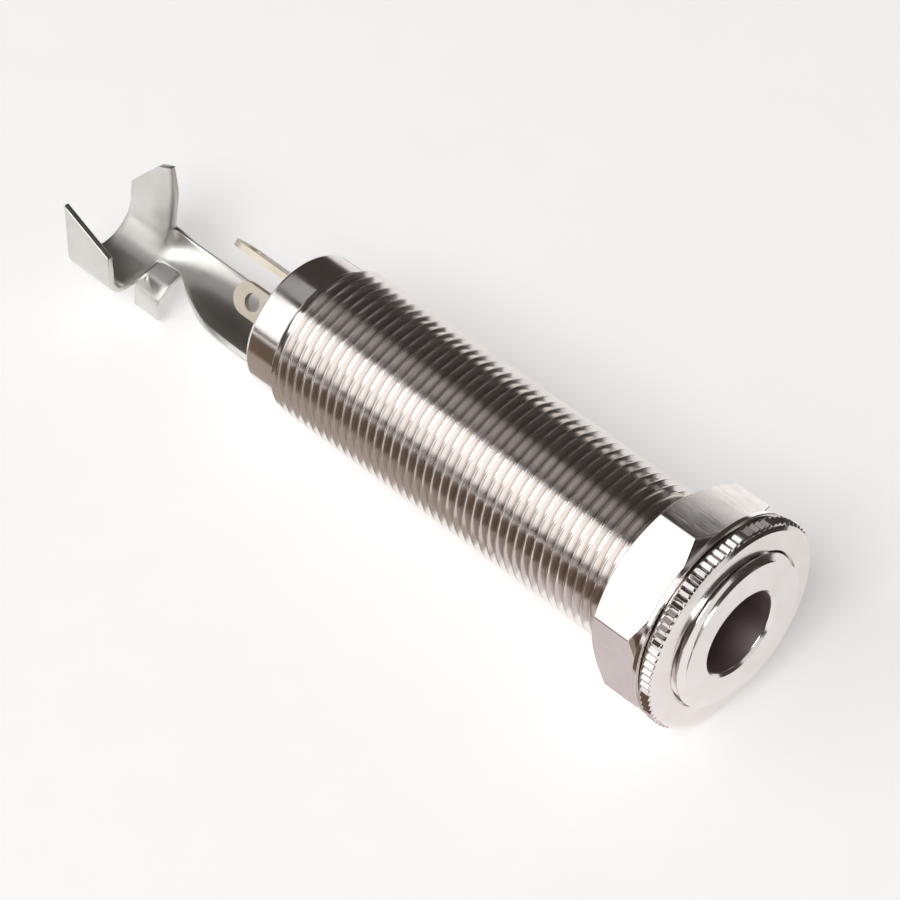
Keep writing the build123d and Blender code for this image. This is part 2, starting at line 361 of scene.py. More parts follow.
def along_barrel(tree, place):
    """The place along the barrel, in mm."""
    apart = add_node(tree, "ShaderNodeSeparateXYZ")
    tree.links.new(place, apart.inputs["Vector"])
    return apart.outputs["X"]


def thread_valley_shade(tree, place, radius, root, crest, end):
    """A mask of painted shade, strong at the thread's roots, gone by its crests and off the plain
    turning.
    """
    x = along_barrel(tree, place)
    deep = remap(tree, radius, root + 0.02, root + 0.6 * (crest - root), 0.55, 0.0)
    outside = remap(tree, radius, root - 0.06, root - 0.02, 0.0, 1.0)
    behind_mouth = remap(tree, x, -0.5, -0.3, 1.0, 0.0)
    before_neck = remap(tree, x, -end, -end + 0.3, 0.0, 1.0)
    reach = maths(tree, "MULTIPLY", behind_mouth, before_neck)
    return maths(tree, "MULTIPLY", maths(tree, "MULTIPLY", deep, outside), reach)


def drilled_share(tree, place, radius, root):
    """A mask of the drilled inside, behind the mouth."""
    inside = remap(tree, radius, root - 0.5, root - 0.3, 1.0, 0.0)
    behind_mouth = remap(tree, along_barrel(tree, place), -0.35, -0.25, 1.0, 0.0)
    return maths(tree, "MULTIPLY", inside, behind_mouth)


# %% [markdown]
# ## Bright nickel
# Nickel plate is a mirror with a warm grey tint. The colour is the tint of its reflections, so it
# goes straight on the shader as a light warm grey with full Metallic. Haze and scratches raise
# the roughness a little where they are, and a Bump node turns the dimples and rings into tiny
# tilts. Tinned sheet and bronze are the same material with other values.

# %% A maker of bright metals
# The bore's colour is painted shade inside the hole; its roughness is the dull drilled surface.
BORE_SHADE_COLOUR = (0.46, 0.38, 0.37)
DRILLED_ROUGHNESS = 0.35
MARK_HEIGHT = 0.004 * MM


def use_group(tree, group, place):
    """Places a shared group in a material."""
    node = add_node(tree, "ShaderNodeGroup", node_tree=group)
    tree.links.new(place, node.inputs["Place"])
    return node


def bright_metal(
    name,
    colour,
    stain_and_valley_shade,
    roughness,
    haze_roughness=0.08,
    ring_share=0.4,
    stain_share=0.35,
    valley=None,
):
    """A plated or bare metal. valley gives the thread's root and crest radius and end, in mm."""
    material, tree = new_material(name)
    shader = tree.nodes["Principled BSDF"]
    shader.inputs["Metallic"].default_value = 1.0
    place = place_in_mm(tree)
    marks = use_group(tree, HANDLING, place)
    rings = use_group(tree, LATHE, place)
    mask = remap(tree, marks.outputs["Haze"], 0.0, 1.0, 0.0, stain_share)
    worn = maths(tree, "MULTIPLY", marks.outputs["Haze"], haze_roughness)
    scored = maths(tree, "MULTIPLY", marks.outputs["Scratches"], haze_roughness)
    rough = maths(tree, "ADD", maths(tree, "ADD", worn, scored), roughness)
    if valley:
        radius = rings.outputs["Radius"]
        # Painted shade: the thread's valleys mix towards the stain colour.
        mask = maths(tree, "MAXIMUM", mask, thread_valley_shade(tree, place, radius, *valley))
        drilled = drilled_share(tree, place, radius, valley[0])
        rough = maths(tree, "ADD", rough, maths(tree, "MULTIPLY", drilled, DRILLED_ROUGHNESS))
    metal = blend_colours(tree, mask, colour, stain_and_valley_shade)
    if valley:
        # Painted shade: the drilled inside is mixed to a darker colour.
        metal = blend_colours(tree, drilled, metal, BORE_SHADE_COLOUR)
    tree.links.new(metal, shader.inputs["Base Color"])
    tree.links.new(rough, shader.inputs["Roughness"])
    ringed = maths(tree, "MULTIPLY", rings.outputs["Height"], ring_share)
    height = maths(tree, "ADD", marks.outputs["Height"], ringed)
    tree.links.new(tilted(tree, height, 0.25, MARK_HEIGHT), shader.inputs["Normal"])
    print(name, "has", len(tree.nodes), "nodes")
    return material


# %% [markdown]
# The barrel is the only metal with painted shade in its valleys, and the nuts are slightly
# smoother. The sheet, the lugs and the springs aren't turned, so they get no rings. The lugs are
# dipped in solder, which leaves them creamier and duller.

# %% The plated finishes
thread_nickel = bright_metal(
    "thread nickel",
    colour=(0.89, 0.86, 0.84),
    # This colour gives the random stains and also the painted shade in the thread's valleys.
    stain_and_valley_shade=(0.55, 0.46, 0.40),
    roughness=0.12,
    stain_share=0.2,
    valley=(root_radius / MM, crest_radius / MM, thread_end / MM),
)
nut_nickel = bright_metal(
    "nut nickel",
    colour=(0.86, 0.82, 0.80),
    stain_and_valley_shade=(0.70, 0.64, 0.60),
    roughness=0.09,
    haze_roughness=0.06,
)
tinned_sheet = bright_metal(
    "tinned sheet",
    colour=(0.76, 0.75, 0.72),
    stain_and_valley_shade=(0.58, 0.56, 0.51),
    roughness=0.3,
    ring_share=0.0,
)
tinned_lug = bright_metal(
    "tinned lug",
    colour=(0.76, 0.70, 0.60),
    stain_and_valley_shade=(0.62, 0.52, 0.40),
    roughness=0.42,
    ring_share=0.0,
)
spring_bronze = bright_metal(
    "spring bronze",
    colour=(0.78, 0.60, 0.38),
    stain_and_valley_shade=(0.55, 0.38, 0.22),
    roughness=0.28,
    ring_share=0.0,
)

# %% [markdown]
# ## The wafers
# The insulating discs are punched from brown phenolic board: paper in resin, with a fine fibre
# mottling and a dull sheen. Noise in two sizes gives the mottling, and the finer one also makes
# the surface slightly uneven.

# %% Brown phenolic
DARK_RESIN = (0.13, 0.062, 0.033)
PALE_FIBRE = (0.25, 0.13, 0.07)


def build_phenolic():
    """Brown board with a mottling of fibres."""
    material, tree = new_material("brown phenolic")
    shader = tree.nodes["Principled BSDF"]
    place = place_in_mm(tree)
    broad = noise(tree, place, 0.8, 3.0)
    fibre = noise(tree, place, 9.0, 5.0, 0.7)
    mask = maths(tree, "MULTIPLY", maths(tree, "ADD", broad, fibre), 0.5)
    spread = remap(tree, mask, 0.35, 0.65, 0.0, 1.0)
    colour = blend_colours(tree, spread, DARK_RESIN, PALE_FIBRE)
    tree.links.new(colour, shader.inputs["Base Color"])
    tree.links.new(remap(tree, fibre, 0.3, 0.7, 0.38, 0.6), shader.inputs["Roughness"])
    tree.links.new(tilted(tree, fibre, 0.4, 0.01 * MM), shader.inputs["Normal"])
    return material


phenolic = build_phenolic()
print("phenolic has", len(phenolic.node_tree.nodes), "nodes")

# %% [markdown]
# ## Wires
# Most pieces start as a wire: a few vertices joined by edges, with its corners rounded by the
# bevel operator, because no real edge is perfectly sharp. Turned pieces then spin the wire about
# the barrel's axis.

# %% Helpers for wires
STEPS = 84
WELD = 0.001 * MM


def draw_wire(bm, points, closed=False):
    """Vertices at these points, joined by edges in their order. Gives the vertices."""
    verts = [bm.verts.new(point) for point in points]
    for pair in zip(verts, verts[1:] + verts[:1] if closed else verts[1:]):
        bm.edges.new(pair)
    return verts


def round_off(bm, geom, offset, segments=2, affect="VERTICES"):
    """Rounds corners of a wire, or edges of a surface if that is what it should affect."""
    bmesh.ops.bevel(
        bm,
        geom=geom,
        offset=offset,
        offset_type="OFFSET",
        segments=segments,
        profile=0.5,
        affect=affect,
        material=-1,
        clamp_overlap=affect == "EDGES",
    )


def weld(bm, reach=WELD):
    """Merges the vertices that lie closer together than a reach."""
    bmesh.ops.remove_doubles(bm, verts=bm.verts[:], dist=reach)


def turn_wires(bm, steps=STEPS):
    """Spins every bare wire of the mesh once about X."""
    bare_verts = [vert for vert in bm.verts if not vert.link_faces]
    bare_edges = [edge for edge in bm.edges if not edge.link_faces]
    bmesh.ops.spin(
        bm,
        geom=bare_verts + bare_edges,
        cent=ORIGIN,
        axis=(1, 0, 0),
        angle=2 * math.pi,
        steps=steps,
        use_merge=True,
    )


def cut_across(bm, x, drop=0):
    """Cuts a mesh across the barrel. drop is 1 or -1 to take away what lies before or behind."""
    bmesh.ops.bisect_plane(
        bm,
        geom=bm.verts[:] + bm.edges[:] + bm.faces[:],
        dist=1e-8,
        plane_co=(x, 0, 0),
        plane_no=(drop or 1, 0, 0),
        clear_outer=drop != 0,
    )


def open_edges_at(bm, x, reach=1e-6):
    """The open edges of a mesh that lie at one place along the barrel."""
    return [
        edge
        for edge in bm.edges
        if edge.is_boundary and all(abs(v.co.x - x) < reach for v in edge.verts)
    ]


def count_open(bm):
    """How many edges don't join exactly two faces."""
    return sum(not edge.is_manifold for edge in bm.edges)


print("a full turn takes", STEPS, "steps")

# %% [markdown]
# ## The thread
# The barrel's thread is one groove that climbs 0.79 mm a turn, with flanks at 60 degrees to each
# other and small flats at crest and root. It could be faked with bump, but its outline shows
# along the barrel's sides. So one tooth's outline is drawn as a few vertices and copied along the
# barrel, and spin sweeps that wire once round the axis while it also moves along by one pitch:
# the delta vector of spin makes the helix. Every tooth then ends where its neighbour began, so
# merging doubles closes the seam.

# %% The thread's outline and its sweep
CREST_FLAT = 0.10 * MM
ROOT_FLAT = 0.098 * MM
EDGE_ROUND = 0.03 * MM


def thread_outline(bm, x, turns, crest, root):
    """A wire of tooth outlines along the barrel, with their corners eased."""
    run = pitch / 2
    stations = [
        (0, root),
        (ROOT_FLAT / 2, root),
        (run - CREST_FLAT / 2, crest),
        (run + CREST_FLAT / 2, crest),
        (pitch - ROOT_FLAT / 2, root),
        (pitch, root),
    ]
    verts = draw_wire(bm, [(x + step, radius, 0) for step, radius in stations])
    round_off(bm, verts[1:-1], EDGE_ROUND)
    tooth = bm.verts[:] + bm.edges[:]
    for turn in range(1, turns):
        copied = bmesh.ops.duplicate(bm, geom=tooth)["geom"]
        moved = [item for item in copied if isinstance(item, bmesh.types.BMVert)]
        bmesh.ops.translate(bm, verts=moved, vec=(turn * pitch, 0, 0))
    weld(bm)


def sweep_thread(bm, x_rear, x_front, crest, root):
    """A helical skin, swept past both ends and cut flat at each. All threads keep one phase."""
    start = pitch * (math.floor(x_rear / pitch) - 1.5)
    turns = math.ceil((x_front - start) / pitch) + 1
    thread_outline(bm, start, turns, crest, root)
    bmesh.ops.spin(
        bm,
        geom=bm.verts[:] + bm.edges[:],
        cent=ORIGIN,
        axis=(1, 0, 0),
        dvec=(pitch / STEPS, 0, 0),
        angle=2 * math.pi,
        steps=STEPS,
    )
    weld(bm)
    cut_across(bm, x_front, drop=1)
    cut_across(bm, x_rear, drop=-1)
    return turns


bm = bmesh.new()
taper_front = -(thread_end - end_chamfer)
taper_rear = -(thread_end + end_chamfer)
turns = sweep_thread(bm, taper_rear, 0, crest_radius, root_radius)
print("thread turns", turns, "faces", len(bm.faces))

# %% [markdown]
# The die starts and stops on a chamfer. Rings of new edges are cut where each chamfer begins, and
# then every vertex that stands proud of the chamfer's cone is drawn in to it.

# %% Chamfers at both ends of the thread


def radius_of(co):
    """How far a point is from the barrel's axis."""
    return math.hypot(co.y, co.z)


def move_to_radius(vert, radius):
    """Moves a vertex straight in or out to a distance from the axis."""
    share = radius / radius_of(vert.co)
    vert.co.y *= share
    vert.co.z *= share


def ease_ends(bm):
    """Draws the thread in to a cone at the mouth and down to the neck at the rear."""
    for x in (-end_chamfer, -end_chamfer / 2, taper_front, -thread_end):
        cut_across(bm, x)
    for vert in bm.verts:
        front_cone = crest_radius - max(0, vert.co.x + end_chamfer)
        share = (taper_front - vert.co.x) / (taper_front - taper_rear)
        rear_cone = crest_radius - max(0, share) * thread_depth
        limit = min(front_cone, rear_cone)
        if radius_of(vert.co) > limit:
            move_to_radius(vert, limit)


ease_ends(bm)
print("after the chamfers, faces", len(bm.faces))

# %% [markdown]
# ## Inside the barrel
# The rest of the barrel is plain turning: the plug hole, the wide cavity behind it, the seat for
# the wafers, the lip that holds them and the smooth neck. Its outline is a wire of stations from
# the mouth inward and back out over the rim. A few corners are eased, and one full spin turns it.

# %% The turned inside
mouth_chamfer = 0.22 * MM
plug_hole = 3.225 * MM
throat_end = -8.0 * MM
cavity = 4.7 * MM
seat_front, seat_rear = -36.13 * MM, -41.8 * MM
seat = 5.0 * MM
rim_hole = 4.75 * MM
rim_round = 0.35 * MM
neck_start = taper_rear - 0.04 * MM
outline = draw_wire(
    bm,
    [
        (x, radius, 0)
        for x, radius in (
            (0, plug_hole + mouth_chamfer),
            (-mouth_chamfer, plug_hole),
            (throat_end, plug_hole),
            (throat_end, cavity),
            (seat_front, cavity),
            (seat_front, seat),
            (seat_rear, seat),
            (seat_rear, rim_hole),
            (-barrel_end, rim_hole),
            (-barrel_end, root_radius),
            (neck_start, root_radius),
        )
    ],
)
plug_corner, hole_corner, rim_corner = outline[1], outline[8], outline[9]
round_off(bm, [plug_corner], 0.06 * MM)
round_off(bm, [hole_corner], 0.08 * MM)
round_off(bm, [rim_corner], rim_round, 6)
turn_wires(bm)
print("with the turned inside, faces", len(bm.faces))

# %% [markdown]
# Two gaps are left between the thread and the turned wire. The flat face at the mouth is filled
# between its two rings, and a band of faces bridges the short step from the thread to the neck.

# %% Close the barrel
bmesh.ops.triangle_fill(bm, edges=open_edges_at(bm, 0), use_beauty=True, normal=(1, 0, 0))
neck_edges = open_edges_at(bm, taper_rear) + open_edges_at(bm, neck_start)
bmesh.ops.bridge_loops(bm, edges=neck_edges)
bmesh.ops.recalc_face_normals(bm, faces=bm.faces[:])
print("open edges left on the barrel:", count_open(bm))
finished(bm, "threaded_barrel", thread_nickel, "barrel_assembly", ["barrel"])

# %% [markdown]
# ## Growing a shape ring by ring
# The nuts go round the barrel, so each grows from one closed ring of edges. The ring is extruded,
# and the new vertices are moved to where the next edge of the shape lies. Bevel then rounds the
# edges that catch the light.

# %% Helpers for growing rings
FACING_X = Matrix.Rotation(math.radians(90), 4, "Y")
RIM_TURN = math.radians(25)


def ring_at(x, radius):
    """A rule that puts a vertex at a place along X and a radius in mm, at its own angle."""

    def place(co):
        share = radius * MM / radius_of(co)
        return Vector((x * MM, co.y * share, co.z * share))

    return place


def grow(bm, ring, place):
    """Extrudes a ring of edges and moves the new vertices by the rule. Gives the new ring."""
    made = bmesh.ops.extrude_edge_only(bm, edges=ring)["geom"]
    fresh = {item for item in made if isinstance(item, bmesh.types.BMVert)}
    for vert in fresh:
        vert.co = place(vert.co)
    edges = [item for item in made if isinstance(item, bmesh.types.BMEdge)]
    return [edge for edge in edges if all(vert in fresh for vert in edge.verts)]


def rim_edges(bm, least_radius):
    """The edges beyond a radius in mm that turn sharply enough to be rounded."""
    return [
        edge
        for edge in bm.edges
        if edge.calc_face_angle(0) > RIM_TURN
        and all(radius_of(v.co) > least_radius * MM for v in edge.verts)
    ]


print("a ring rule gives", [round(c / MM, 2) for c in ring_at(-1, 2)(Vector((0, MM, 0)))])

# %% [markdown]
# ## The dress nut
# A thin round nut whose rim is knurled for fingers: 86 straight teeth, pressed in by a wheel, with
# a bevel at the front and a deeper one at the rear. Two vertices per tooth go round the ring.
# Where the nut is at full size, every other vertex stands at the crest and the rest at the root,
# and on the bevels the teeth fade out.

# %% Measures of the dress nut
KNURL_TEETH = 86
KNURL_DEPTH = 0.22
FACE_INSET = 0.53
FRONT_BEVEL = 0.32
REAR_BEVEL = 0.45
COUNTERSINK = 0.167
NUT_CLEARANCE = 0.03
dress_low, dress_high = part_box("dress_nut")
dress_rear, dress_front = dress_low.x / MM, dress_high.x / MM
rim = dress_high.z / MM
knurl_root = rim - KNURL_DEPTH
nut_bore = crest_radius / MM + NUT_CLEARANCE
print("dress nut in mm:", round(2 * rim, 2), "across,", round(dress_front - dress_rear, 2), "thick")

# %% Grow the dress nut


def knurled(x):
    """A rule that puts every other vertex of the ring at a tooth's crest, the rest at its root."""

    def place(co):
        step = round(math.atan2(co.z, co.y) / (math.pi / KNURL_TEETH))
        return ring_at(x, rim if step % 2 else knurl_root)(co)

    return place


bm = bmesh.new()
face_edge = rim - FACE_INSET
bmesh.ops.create_circle(bm, segments=2 * KNURL_TEETH, radius=face_edge * MM, matrix=FACING_X)
bmesh.ops.translate(bm, verts=bm.verts[:], vec=(dress_front * MM, 0, 0))
front_fade = FRONT_BEVEL * (1 - KNURL_DEPTH / FACE_INSET)
ring = bm.edges[:]
for place in (
    ring_at(dress_front - front_fade, knurl_root),
    knurled(dress_front - FRONT_BEVEL),
    knurled(dress_rear + REAR_BEVEL),
    ring_at(dress_rear + REAR_BEVEL - KNURL_DEPTH, knurl_root),
    ring_at(dress_rear, rim - REAR_BEVEL),
    ring_at(dress_rear, nut_bore + COUNTERSINK),
    ring_at(dress_rear + COUNTERSINK, nut_bore),
    ring_at(dress_front - COUNTERSINK, nut_bore),
    ring_at(dress_front, nut_bore + COUNTERSINK),
    ring_at(dress_front, face_edge),
):
    ring = grow(bm, ring, place)
weld(bm)
bmesh.ops.recalc_face_normals(bm, faces=bm.faces[:])
round_off(bm, rim_edges(bm, face_edge - 0.1), 0.03 * MM, affect="EDGES")
print("open edges left on the dress nut:", count_open(bm))
finished(bm, "knurled_dress_nut", nut_nickel, "dress_nut", ["dress_nut"])

# %% [markdown]
# ## The washer
# A plain stamped ring between the two nuts. Only its rim shows, as one thin bright line, and that
# line comes from its rounded corners. So its outline is four vertices with generous rounds,
# turned once.

# %% Turn the washer
WASHER_CLEARANCE = 0.15 * MM
WASHER_ROUND = 0.07 * MM
washer_low, washer_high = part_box("flat_washer")
washer_hole = crest_radius + WASHER_CLEARANCE
bm = bmesh.new()
corners = draw_wire(
    bm,
    [
        (washer_high.x, washer_hole, 0),
        (washer_high.x, washer_high.z, 0),
        (washer_low.x, washer_high.z, 0),
        (washer_low.x, washer_hole, 0),
    ],
    closed=True,
)
round_off(bm, corners, WASHER_ROUND, 4)
turn_wires(bm, 120)
bmesh.ops.recalc_face_normals(bm, faces=bm.faces[:])
finished(bm, "stamped_washer", nut_nickel, "flat_washer", ["flat_washer"])

# %% [markdown]
# ## The hex nut
# Six flats on a bar, turned at both ends so that the corners are cut back by a cone. The thread
# inside follows the barrel's own helix with a hair of clearance, so it is swept by the same code,
# and its ends are opened out to a countersink. Spare points along the flats let the cone draw its
# curved line on them.

# %% Measures of the hex nut
CORNER_ANGLE = math.radians(39.6)
CORNER_ROUND = 0.1 * MM
BEARING_INSET = 0.25
CHAMFER_SLOPE = math.tan(math.radians(30))
THREAD_GAP = 0.03 * MM
HEX_CORNER = 8.14
hex_low, hex_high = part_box("hex_nut")
flat_reach = HEX_CORNER * math.cos(math.radians(30))
bearing = (flat_reach - BEARING_INSET) * MM
hole_edge = (nut_bore + COUNTERSINK) * MM
print("hex nut in mm:", round(2 * flat_reach, 2), "across its flats")

# %% The inner thread


def open_out_ends(bm, x_rear, x_front):
    """Cuts rings near both ends of the inner thread and pushes it out to a countersink there."""
    for depth in (0.06, 0.17, 0.35, 0.55):
        cut_across(bm, x_front - depth * MM)
        cut_across(bm, x_rear + depth * MM)
    for vert in bm.verts:
        depth = min(x_front - vert.co.x, vert.co.x - x_rear)
        least = hole_edge - depth
        if radius_of(vert.co) < least:
            move_to_radius(vert, least)


bm = bmesh.new()
sweep_thread(bm, hex_low.x, hex_high.x, crest_radius + THREAD_GAP, root_radius + THREAD_GAP)
open_out_ends(bm, hex_low.x, hex_high.x)
print("the inner thread has", len(bm.faces), "faces")

# %% Grow the hex nut


def cone_drop(co):
    """How far the corner chamfer has fallen back at a vertex."""
    return max(0, radius_of(co) - bearing) * CHAMFER_SLOPE


upright = Matrix.Rotation(CORNER_ANGLE, 4, "X") @ FACING_X
hexagon = bmesh.ops.create_circle(bm, segments=6, radius=HEX_CORNER * MM, matrix=upright)
round_off(bm, hexagon["verts"], CORNER_ROUND, 3)
flats = [edge for edge in bm.edges if not edge.link_faces and edge.calc_length() > 2 * MM]
bmesh.ops.subdivide_edges(bm, edges=flats, cuts=15)
front_row = [edge for edge in bm.edges if not edge.link_faces]
for vert in {vert for edge in front_row for vert in edge.verts}:
    vert.co.x = hex_high.x - cone_drop(vert.co)
rear_row = grow(bm, front_row, lambda co: Vector((hex_low.x + cone_drop(co), co.y, co.z)))
grow(bm, rear_row, ring_at(hex_low.x / MM, bearing / MM))
grow(bm, front_row, ring_at(hex_high.x / MM, bearing / MM))
for x, side in ((hex_high.x, 1), (hex_low.x, -1)):
    face_rings = open_edges_at(bm, x)
    bmesh.ops.triangle_fill(bm, edges=face_rings, use_beauty=True, normal=(side, 0, 0))
bmesh.ops.recalc_face_normals(bm, faces=bm.faces[:])
round_off(bm, rim_edges(bm, bearing / MM - 0.01), 0.035 * MM, affect="EDGES")
print("open edges left on the hex nut:", count_open(bm))
finished(bm, "chamfered_hex_nut", nut_nickel, "hex_nut", ["hex_nut"])

# %% [markdown]
# ## The sleeve terminal
# One piece of tinned sheet: a flange that is clamped in the barrel, a curved strip that narrows
# and turns into the floor of a U, the U's two slanted ears, which fold over a cable, and a small
# solder tab. It is drawn as a bare surface in the middle of the sheet. Each cross section is an
# arc, spun from a single vertex, and bridging two arcs makes the surface between them. A Solidify
# modifier gives the sheet its thickness and a Bevel modifier eases its cut rims.

# %% Measures of the sleeve terminal
SHEET = 0.45
FLANGE_X = -41.555
FLANGE_HOLE = 3.05
FLANGE_RIM = 4.95
STRIP_START_X = -46.0
CLAMP_FRONT_X = -57.3
CLAMP_REAR_X = -61.9
STRIP_RADIUS = 4.475
CLAMP_RADIUS = 3.175
CLAMP_Y, CLAMP_Z = -1.55, -1.5
NEAR_EAR_TOP = 1.53
FAR_EAR_TOP = 3.85
TAB_FRONT_X = -55.1
TAB_WIDTH = 2.6
near_wall = CLAMP_Y - CLAMP_RADIUS
far_wall = CLAMP_Y + CLAMP_RADIUS
cradle_floor = CLAMP_Z - CLAMP_RADIUS
print("the clamp is", round(far_wall - near_wall, 2), "mm wide")

# %% [markdown]
# The strip's two edges aren't straight. Their angles round the barrel are given at a few
# stations, and a smooth curve runs through them, with its slope at each station taken from the
# stations before and after.

# %% The strip's edges
# Each station is a share of the strip's run, then the angles of its near and far edge.
STRIP_STATIONS = [
    (0.0, 217.0, 303.5),
    (0.16, 222.0, 306.5),
    (0.32, 231.0, 307.7),
    (0.44, 241.5, 309.3),
    (0.55, 252.0, 311.7),
    (0.68, 265.5, 316.4),
    (0.81, 283.0, 324.5),
    (0.90, 289.5, 334.0),
    (1.0, 295.7, 351.4),
]


def edge_angles(share):
    """The near and far edge's angle at a share of the strip's run."""
    shares = [station[0] for station in STRIP_STATIONS]
    last = len(shares) - 1
    index = max(i for i in range(last) if shares[i] <= share)
    around = [STRIP_STATIONS[min(max(index + step, 0), last)] for step in (-1, 0, 1, 2)]
    before, first, second, after = around
    span = second[0] - first[0]
    t = (share - first[0]) / span
    angles = []
    for side in (1, 2):
        rise_in = (second[side] - before[side]) / max(second[0] - before[0], span) * span
        rise_out = (after[side] - first[side]) / max(after[0] - first[0], span) * span
        angles.append(
            (2 * t**3 - 3 * t**2 + 1) * first[side]
            + (t**3 - 2 * t**2 + t) * rise_in
            + (3 * t**2 - 2 * t**3) * second[side]
            + (t**3 - t**2) * rise_out
        )
    return angles


print("edges halfway along, in degrees:", [round(angle, 1) for angle in edge_angles(0.5)])

# %% [markdown]
# Sheet takes a few helpers of its own: an arc spun from one vertex, a line through points with
# rounded corners, a pull that extrudes a wire along the barrel, and a cut along a plane.

# %% Helpers for sheet


def arc(bm, x, centre, radius, near, far, steps):
    """A wire along an arc in a plane across X, spun from one vertex. Gives its edges."""
    y, z = centre
    start = math.radians(near)
    place = (x * MM, (y + radius * math.cos(start)) * MM, (z + radius * math.sin(start)) * MM)
    seed = bm.verts.new(place)
    before = set(bm.edges)
    bmesh.ops.spin(
        bm,
        geom=[seed],
        cent=(x * MM, y * MM, z * MM),
        axis=(1, 0, 0),
        angle=math.radians(far - near),
        steps=steps,
    )
    return [edge for edge in bm.edges if edge not in before]


def polyline(bm, x, points, rounds):
    """A wire through (y, z) points at one x, with chosen corners rounded. Gives its edges."""
    before = set(bm.edges)
    verts = draw_wire(bm, [Vector((x, y, z)) * MM for y, z in points])
    for index, (offset, segments) in rounds.items():
        round_off(bm, [verts[index]], offset * MM, segments)
    return [edge for edge in bm.edges if edge not in before]


def pull_back(bm, ring, distance, cuts):
    """Extrudes a wire to the rear by a distance in mm, in equal steps."""
    for step in range(cuts):
        ring = grow(bm, ring, lambda co: co - Vector((distance / cuts, 0, 0)) * MM)


def cut_away(bm, faces, point, scrap_side):
    """Cuts faces along a plane and drops what lies on the scrap side."""
    verts = dict.fromkeys(vert for face in faces for vert in face.verts)
    edges = dict.fromkeys(edge for face in faces for edge in face.edges)
    bmesh.ops.bisect_plane(
        bm,
        geom=[*verts, *edges, *faces],
        dist=1e-7,
        plane_co=Vector(point) * MM,
        plane_no=scrap_side,
        clear_outer=True,
    )


# %% [markdown]
# The flange is a full ring round the barrel's axis. The strip's sections follow the barrel's
# circle at first and lean over to the clamp's circle only near the clamp.

# %% The flange and the strip
ACROSS = 12
SECTIONS = 24
strip_run = CLAMP_FRONT_X - STRIP_START_X


def strip_circle(share):
    """The centre and radius of the circle that the strip follows at a share of its run."""
    leaning = share**3
    radius = STRIP_RADIUS + leaning * (CLAMP_RADIUS - STRIP_RADIUS)
    return (leaning * CLAMP_Y, leaning * CLAMP_Z), radius


def strip_arc(bm, share):
    """The strip's section at a share of its run from the bend to the clamp."""
    x = STRIP_START_X + share * strip_run
    return arc(bm, x, *strip_circle(share), *edge_angles(share), ACROSS)


bm = bmesh.new()
arc(bm, FLANGE_X, (0, 0), FLANGE_HOLE, 0, 360, 72)
weld(bm)
grow(bm, bm.edges[:], ring_at(FLANGE_X, FLANGE_RIM))
sections = [arc(bm, FLANGE_X, (0, 0), STRIP_RADIUS, *edge_angles(0), ACROSS)]
sections += [strip_arc(bm, step / SECTIONS) for step in range(SECTIONS + 1)]
for front, rear in zip(sections, sections[1:]):
    bmesh.ops.bridge_loops(bm, edges=front + rear)
print("flange and strip have", len(bm.faces), "faces")

# %% [markdown]
# The U is a wire of its own: the near wall with a rounded corner, the cradle's quarter circle, and
# the far wall with a crease where it leans back. It is extruded along the cable, and both ears
# are cut along their slants. The cradle's arc has vertices where the strip's last arc has them,
# so that the two weld.

# %% The clamp
strip_faces = set(bm.faces)
neck_near, neck_far = edge_angles(1.0)


def ear_faces(is_far):
    """The clamp's faces on one side of the cable, as they are now."""
    middle = CLAMP_Y * MM
    clamp_faces = [face for face in bm.faces if face not in strip_faces]
    return [face for face in clamp_faces if (face.calc_center_median().y > middle) == is_far]


def slope(run, rise):
    """The scrap side above a cut that rises by so much over a run forward."""
    return (-rise, 0, run)


near_outline = [(near_wall, NEAR_EAR_TOP), (near_wall, cradle_floor), (CLAMP_Y, cradle_floor)]
far_outline = [(far_wall, CLAMP_Z), (far_wall + 0.4, 1.0), (far_wall + 0.2, FAR_EAR_TOP)]
clamp = polyline(bm, CLAMP_FRONT_X, near_outline, {1: (1.3, 6)})
for near, far, steps in ((270, neck_near, 4), (neck_near, neck_far, ACROSS), (neck_far, 360, 2)):
    clamp += arc(bm, CLAMP_FRONT_X, (CLAMP_Y, CLAMP_Z), CLAMP_RADIUS, near, far, steps)
clamp += polyline(bm, CLAMP_FRONT_X, far_outline, {1: (0.4, 3)})
pull_back(bm, clamp, CLAMP_FRONT_X - CLAMP_REAR_X, 8)
for is_far, point, scrap_side in (
    (False, (CLAMP_REAR_X, near_wall, NEAR_EAR_TOP), slope(4.6, -2.37)),
    (True, (CLAMP_REAR_X, far_wall, -0.3), slope(3.2, 3.45)),
    (True, (CLAMP_FRONT_X, far_wall, FAR_EAR_TOP), slope(1.4, 0.7)),
):
    cut_away(bm, ear_faces(is_far), point, scrap_side)
weld(bm, 5 * WELD)
print("with the clamp, faces", len(bm.faces))

# %% [markdown]
# The tab hangs from the strip's near edge, just before the clamp: first outward, then over a
# rounded bend and down. It is a polyline of four points that starts on the edge, extruded along
# the barrel by the tab's width.

# %% The tab, and finish the sheet
TAB_PATH = [(0, 0), (-1.3, -0.45), (-2.2, -1.3), (-2.3, -2.9)]
tab_share = (TAB_FRONT_X - TAB_WIDTH / 2 - STRIP_START_X) / strip_run
(tab_y, tab_z), tab_radius = strip_circle(tab_share)
tab_angle = math.radians(edge_angles(tab_share)[0])
root_y = tab_y + tab_radius * math.cos(tab_angle)
root_z = tab_z + tab_radius * math.sin(tab_angle)
tab_points = [(root_y + y, root_z + z) for y, z in TAB_PATH]
pull_back(bm, polyline(bm, TAB_FRONT_X, tab_points, {1: (0.3, 3), 2: (0.3, 3)}), TAB_WIDTH, 4)
bmesh.ops.recalc_face_normals(bm, faces=bm.faces[:])
finished(
    bm,
    "sleeve_terminal_sheet",
    tinned_sheet,
    "barrel_assembly",
    ["sleeve_terminal"],
    sheet_thickness=SHEET * MM,
)

# %% [markdown]
# ## Finishes for the parts that keep their CAD shape
# The wafers, the springs and the two solder lugs already have their true form, so they only get
# their finish.

